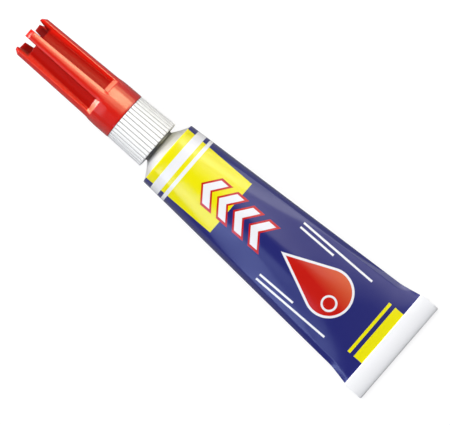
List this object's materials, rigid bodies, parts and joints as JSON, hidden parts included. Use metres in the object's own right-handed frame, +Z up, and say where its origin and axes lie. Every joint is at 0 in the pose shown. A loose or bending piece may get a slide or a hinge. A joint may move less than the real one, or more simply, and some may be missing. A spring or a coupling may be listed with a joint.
{
  "type": "super glue tube",
  "caption": "Flattened aluminium glue tube lying on its side, with a folded tail, a ribbed screw-on nozzle and a finned screw cap with a crown of prongs.",
  "frame": {"origin": "centre of the lying tube's footprint, on the table", "axes": "+X from the tail fold towards the cap along the table, +Y across the tube, +Z up; the tube's own axis rises towards the cap by about 6.3 degrees"},
  "size_m": [0.0895, 0.0218, 0.0145],
  "materials": {
    "printed_sheet": "gloss",
    "white_fold": "satin",
    "latex": "matte",
    "foil": "satin",
    "glue": "gloss",
    "seal_rubber": "matte",
    "white_plastic": "satin",
    "pin_steel": "polished",
    "red_plastic": "gloss"
  },
  "bodies": {
    "tube": {"tube_shell": "printed_sheet", "tail_fold": "white_fold", "tail_sealant": "latex", "neck_membrane": "foil", "glue_fill": "glue"},
    "seal": {"neck_seal": "seal_rubber"},
    "nozzle": {"nozzle": "white_plastic"},
    "pin": {"cap_pin": "pin_steel"},
    "cap": {"cap_shell": "red_plastic"}
  },
  "joints": [
    {"name": "nozzle_rise", "type": "slide", "parent": "tube", "child": "seal", "axis": [0.994, 0, 0.1096], "range_m": [0, 0.0052]},
    {"name": "nozzle_turn", "type": "hinge", "parent": "seal", "child": "nozzle", "pos_m": [0.01586, 0, 0.00722], "axis": [0.994, 0, 0.1096], "range_deg": [0, 1441]},
    {"name": "cap_rise", "type": "slide", "parent": "nozzle", "child": "pin", "axis": [0.994, 0, 0.1096], "range_m": [0, 0.0195]},
    {"name": "cap_turn", "type": "hinge", "parent": "pin", "child": "cap", "pos_m": [0.02381, 0, 0.0081], "axis": [0.994, 0, 0.1096], "range_deg": [0, 2701]}
  ],
  "couplings": [
    {"joint": "nozzle_turn", "follows": "nozzle_rise", "rad_per_m": 4833.2},
    {"joint": "cap_turn", "follows": "cap_rise", "rad_per_m": 2416.6}
  ]
}
